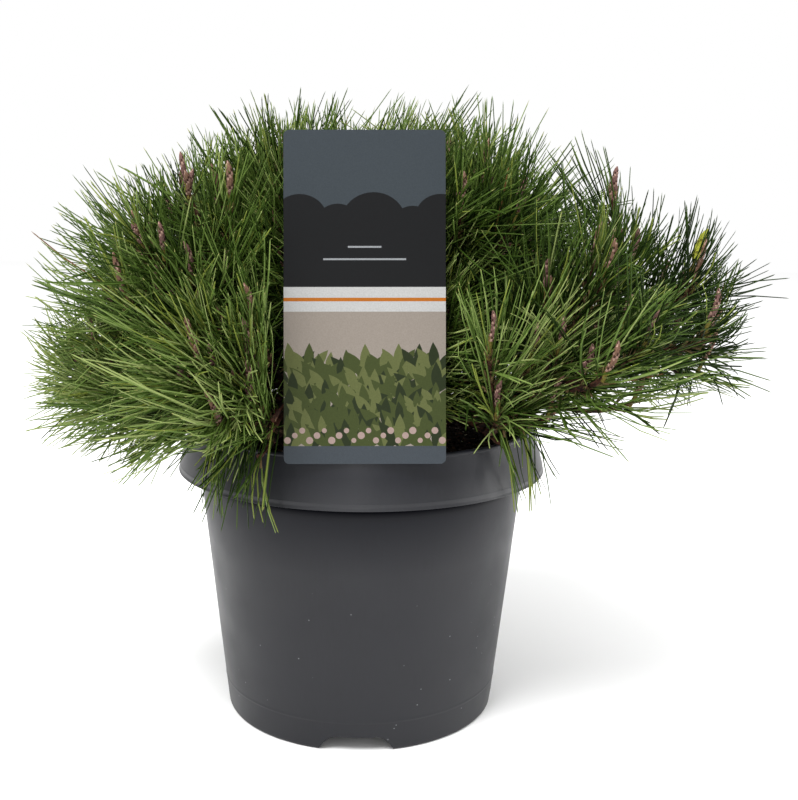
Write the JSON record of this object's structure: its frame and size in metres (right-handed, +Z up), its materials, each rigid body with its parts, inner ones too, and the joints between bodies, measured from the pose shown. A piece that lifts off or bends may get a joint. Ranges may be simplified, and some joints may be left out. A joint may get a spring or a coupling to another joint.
{
  "type": "potted mugo pine",
  "caption": "Dwarf mountain pine with a low dome of long-needled shoots, in a dark round nursery pot with a flared rim and a picture label hooked over the rim.",
  "frame": {"origin": "middle of the pot's underside, on the ground", "axes": "+Z up along the pot's axis, -Y towards the front, where the label stands, +X to the right seen from the front"},
  "size_m": [0.3939, 0.3273, 0.325],
  "materials": {
    "pot_plastic": "matte anthracite polypropylene",
    "potting_soil": "moist peat and bark",
    "label_card": "printed plastic card, satin",
    "bark": "scaly grey-brown bark",
    "needles": "green pine needles"
  },
  "bodies": {
    "root": {"pot": "pot_plastic", "soil": "potting_soil", "label": "label_card", "trunk": "bark", "bough_01": "bark", "bough_02": "bark", "bough_03": "bark", "bough_04": "bark", "bough_05": "bark", "bough_06": "bark", "bough_07": "bark", "bough_08": "bark", "bough_09": "bark", "bough_10": "bark", "bough_11": "bark", "bough_12": "bark", "bough_13": "bark", "bough_14": "bark", "bough_15": "bark", "bough_16": "bark", "bough_17": "bark", "bough_18": "bark", "bough_19": "bark", "bough_20": "bark", "bough_21": "bark", "bough_22": "bark", "bough_23": "bark", "bough_24": "bark", "bough_25": "bark", "mass_01": "needles", "mass_02": "needles", "mass_03": "needles", "mass_04": "needles", "mass_05": "needles", "mass_06": "needles", "mass_07": "needles", "mass_08": "needles", "mass_09": "needles", "mass_10": "needles", "mass_11": "needles", "mass_12": "needles", "mass_13": "needles", "mass_14": "needles", "mass_15": "needles", "mass_16": "needles", "mass_17": "needles", "mass_18": "needles", "mass_19": "needles", "mass_20": "needles", "mass_21": "needles", "mass_22": "needles", "mass_23": "needles", "mass_24": "needles", "mass_25": "needles"}
  },
  "joints": []
}
